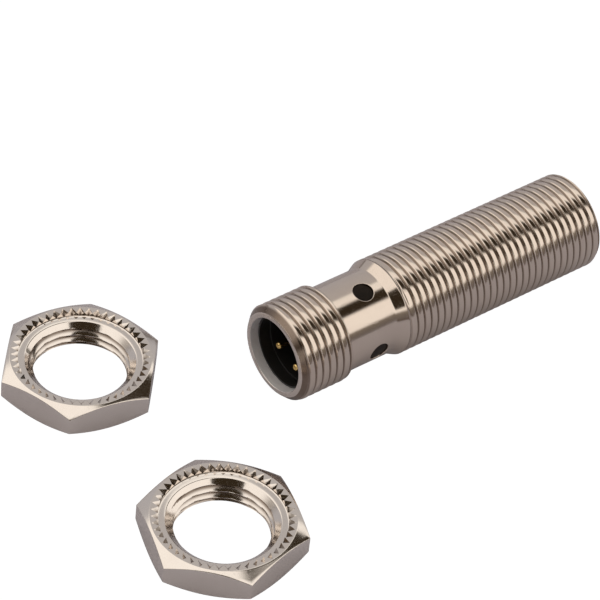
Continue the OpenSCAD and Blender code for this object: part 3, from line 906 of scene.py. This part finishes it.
def platedMetal(name, centre, upright, light, paintedShade):
    # plated brass: fine lathe lines round the piece's own axis, a mottled shine, small
    # scratches, painted shade that darkens each groove, which is also duller, and a pale satin bore
    look = Finish(name)
    moved = look.node("ShaderNodeVectorMath", {"operation": "SUBTRACT"}, {0: look.place, 1: centre})
    x, y, z = split(look, moved)
    along, first, second = (z, x, y) if upright else (x, y, z)
    radius = look.math("SQRT", first * first + second * second)
    lathe = look.noise(plating["lathe"], 1, 0.6, combine(look, along, radius, 0.0))
    if upright:
        turnedTo = plating["turnedTo"]
        lathe = lathe * (1 - radius.step(turnedTo - plating["turnedEdge"], turnedTo))
    mottle = look.noise(plating["mottle"], 3, 0.55)
    cloud = look.noise(plating["cloud"], 3, 0.6)
    fine = look.noise(plating["fine"], 2)
    drawnOut = combine(look, along * 0.25, first, second)
    scratches = look.noise(plating["scratches"], 1, 0.5, drawnOut).step(0.66, 0.72)
    # painted shade: the deeper a point lies in a groove, the darker its colour
    deep = look.mark("groove").step(0.2, 0.9)
    satin = look.mark("satin")
    colour = (deep * paintedShade).mix(light, tint(light, plating["grooveTint"]))
    colour = (mottle.step(0.35, 0.75) * 0.1 + cloud.step(0.5, 0.8) * 0.12).mix(
        colour, tint(light, plating["cloudTint"]))
    colour = (satin * 0.9).mix(colour, plating["satin"])
    shine = plating["shine"] + mottle * 0.06 + fine * 0.03 + deep * 0.1 + scratches * 0.06 + satin * 0.36
    height = lathe * 0.5 + fine * 0.35 + cloud * 0.6 - scratches * 0.25
    look.feed(BaseColor=colour, Metallic=1 - satin * 0.65, Roughness=shine,
              Normal=look.bump(height, plating["relief"], 0.4))
    return look


def mouldedPlastic(name, colour, roughness, grain, fleck=0.25):
    # a moulded or cast skin: cloudy colour, pale flecks and a fine grain in its surface
    look = Finish(name)
    coarse = look.noise(grain * 0.15, 3)
    fine = look.noise(grain, 2)
    flecks = look.noise(grain * 2.5, 1).step(0.68, 0.74)
    shade = (coarse.step(0.3, 0.8) * 0.5).mix(colour, tint(colour, 1.5))
    shade = (flecks * fleck).mix(shade, tint(colour, 2.6))
    look.feed(BaseColor=shade, Roughness=roughness + fine * 0.12,
              Normal=look.bump(fine + coarse * 0.5, 0.00001, 0.4))
    return look


def bareMetal(name, colour, dark, shine, grain):
    # uncoated or gold-plated metal: two tones in patches, and a roughness that follows them
    look = Finish(name)
    mottle = look.noise(grain, 3)
    fine = look.noise(grain * 6, 2)
    shade = (mottle.step(0.35, 0.7) * 0.4).mix(colour, dark)
    look.feed(BaseColor=shade, Metallic=1.0, Roughness=shine + mottle * 0.14,
              Normal=look.bump(mottle + fine * 0.3, 0.000004, 0.4))
    return look


def clearPlastic(name, colour, dark, roughness, through, specular=0.5):
    # a clouded, partly clear plastic
    look = Finish(name)
    cloud = look.noise(700, 2)
    streaks = look.noise(2600, 1)
    look.feed(BaseColor=cloud.step(0.35, 0.7).mix(colour, dark), Roughness=roughness + streaks * 0.1,
              Normal=look.bump(cloud + streaks * 0.2, 0.00001, 0.3),
              TransmissionWeight=through, SpecularIORLevel=specular)
    return look


def woundWire(name, colour, dark, pitch):
    # enamelled wire: one rounded turn for each pitch along X, with painted shade between the turns
    look = Finish(name)
    along = split(look, look.place)[0]
    turn = look.math("SINE", along * (2 * np.pi / pitch)) * 0.5 + 0.5
    uneven = look.noise(2400, 2)
    # painted shade: the colour falls to the dark tone in the hollow between neighbouring turns
    look.feed(BaseColor=turn.step(0.0, 0.5).mix(dark, colour), Metallic=0.6,
              Roughness=0.22 + uneven * 0.2, CoatWeight=0.5,
              Normal=look.bump(turn + uneven * 0.1, pitch * 0.4, 0.8))
    return look


def boardLaminate(name, mask, copper, spacing):
    # solder mask over copper tracks: the mask is lighter and raised where a track runs, and
    # round vias stand at scattered spots
    look = Finish(name)
    x, y = split(look, look.place)[:2]
    tracks = look.math("PINGPONG", x + look.noise(260, 0) * spacing * 2, spacing).step(
        spacing * 0.55, spacing * 0.65)
    lanes = look.math("PINGPONG", y, spacing * 2).step(spacing * 1.7, spacing * 1.8)
    cells = look.node("ShaderNodeTexVoronoi", {}, {"Vector": look.place, "Scale": 0.5 / spacing,
                                                   "Randomness": 0.4}, "Distance")
    vias = 1 - cells.step(0.13, 0.17)
    raised = look.math("MAXIMUM", tracks, lanes)
    weave = look.noise(5200, 1)
    shade = (raised * 0.6).mix(mask, tint(mask, 1.9))
    shade = vias.mix(shade, copper)
    look.feed(BaseColor=shade, Metallic=vias * 0.9, Roughness=0.28 + weave * 0.16,
              Normal=look.bump(raised + weave * 0.15, 0.00003, 0.5))
    return look


def bandedPart(name, body, band, places, halfWidth, roughness, metal):
    # a small part with a band of another finish at each given place along X, in millimetres
    look = Finish(name)
    along = split(look, look.place)[0]
    share, soft = 0.0, 0.02
    for place in places:
        away = look.math("ABSOLUTE", along - place * mm)
        share = share + (1 - away.step((halfWidth - soft) * mm, halfWidth * mm))
    grain = look.noise(3600, 2)
    shade = (grain.step(0.4, 0.7) * 0.4).mix(body, tint(body, 1.5))
    look.feed(BaseColor=share.mix(shade, band), Metallic=share * metal,
              Roughness=roughness + grain * 0.12, Normal=look.bump(grain + share, 0.00001, 0.4))
    return look


platedMetal("nickelBarrel", (0, 0, 0), False, plating["barrel"],
            plating["barrelGrime"]).give(housingShell)
for node, piece in nutPieces.items():
    centre = tuple(nutCentre(node) * mm)
    platedMetal("nickel_" + piece.name, centre, True, plating["nut"], plating["nutGrime"]).give(piece)
clearPlastic("smokyLens", (0.008, 0.004, 0.001, 1), (0.018, 0.01, 0.004, 1), 0.3, 0.1, 0.1).give(lenses)
mouldedPlastic("blackInsert", (0.012, 0.0115, 0.011, 1), 0.3, 6000).give(insertPiece)
mouldedPlastic("blueCap", (0.03, 0.07, 0.22, 1), 0.36, 5200, 0.12).give(capPiece)
for piece in pinPieces:
    bareMetal("gold_" + piece.name, (0.95, 0.68, 0.27, 1), (0.78, 0.52, 0.2, 1), 0.14, 900).give(piece)

# hidden pieces, each with the finish of what it is made of
capacitorLow, capacitorHigh = nodeBox("chip_capacitors")
resistorLow, resistorHigh = nodeBox("chip_resistors")
diodeHigh = nodeBox("protection_diode")[1]
inner = {
    "capacitor": 2.0,  # lengths of the small parts on the board
    "resistor": 1.6,
    "terminal": 0.25,
    "diodeBand": 0.25,  # half the width of the diode's band, and how far in from its end it is
    "diodeBandIn": 0.6,
    "copper": (0.75, 0.42, 0.2, 1),
    "tin": (0.72, 0.72, 0.72, 1),
    "mask": (0.02, 0.15, 0.055, 1),
    "chip": (0.02, 0.02, 0.022, 1),
}


def terminals(low, high, length, width, count):
    # middles of both end bands of parts of one length, spread evenly between two corners
    starts = np.linspace(low, high - length, count)
    return [float(start + inset) for start in starts for inset in (width / 2, length - width / 2)]


terminal = inner["terminal"]
looks = {
    "shield_ring": bareMetal("brassRing", (0.72, 0.52, 0.22, 1), (0.45, 0.3, 0.12, 1), 0.25, 600),
    "ferrite_core": mouldedPlastic("ferrite", (0.045, 0.045, 0.05, 1), 0.6, 2600, 0.6),
    "coil_bobbin": mouldedPlastic("ivoryPlastic", (0.72, 0.66, 0.52, 1), 0.42, 4200, 0.1),
    # the coil wire's darker colour is painted shade between its turns
    "sensing_coil": woundWire("coilWire", (0.62, 0.22, 0.07, 1), (0.12, 0.03, 0.01, 1), 0.0001),
    "coil_leads": bareMetal("leadWire", (0.85, 0.45, 0.22, 1), (0.6, 0.28, 0.1, 1), 0.2, 1500),
    "circuit_board": boardLaminate("boardMask", inner["mask"], inner["copper"], 0.0006),
    "tail_board": boardLaminate("roundBoardMask", inner["mask"], inner["copper"], 0.0008),
    "sensor_chip": mouldedPlastic("chipEpoxy", inner["chip"], 0.45, 5200),
    "voltage_regulator": mouldedPlastic("regulatorEpoxy", inner["chip"], 0.4, 4600),
    "output_transistor": mouldedPlastic("transistorEpoxy", inner["chip"], 0.48, 4800),
    "protection_diode": bandedPart("diodeGlass", (0.4, 0.09, 0.03, 1), (0.03, 0.03, 0.03, 1),
                                   [float(diodeHigh[0]) - inner["diodeBandIn"]], inner["diodeBand"],
                                   0.12, 0.0),
    "chip_capacitors": bandedPart(
        "capacitorCeramic", (0.42, 0.3, 0.18, 1), inner["tin"],
        terminals(capacitorLow[0], capacitorHigh[0], inner["capacitor"], terminal, 3),
        terminal / 2, 0.4, 0.9),
    "chip_resistors": bandedPart(
        "resistorGlaze", (0.03, 0.03, 0.035, 1), inner["tin"],
        terminals(resistorLow[0], resistorHigh[0], inner["resistor"], terminal, 2),
        terminal / 2, 0.35, 0.9),
    "status_leds": clearPlastic("ledResin", (0.85, 0.6, 0.08, 1), (0.6, 0.4, 0.05, 1), 0.12, 0.4),
    "light_guide": clearPlastic("guidePlastic", (0.72, 0.7, 0.58, 1), (0.5, 0.48, 0.38, 1), 0.18, 0.6),
    "solder_joints": bareMetal("solder", (0.72, 0.72, 0.73, 1), (0.42, 0.42, 0.44, 1), 0.22, 1400),
    "insert_seal": mouldedPlastic("sealRubber", (0.02, 0.02, 0.021, 1), 0.62, 3800, 0.1),
    "potting_compound": mouldedPlastic("pottingResin", (0.12, 0.1, 0.07, 1), 0.3, 1600, 0.4),
}
for node, look in looks.items():
    look.give(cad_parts[node])
print("materials ready:", len(bpy.data.materials))
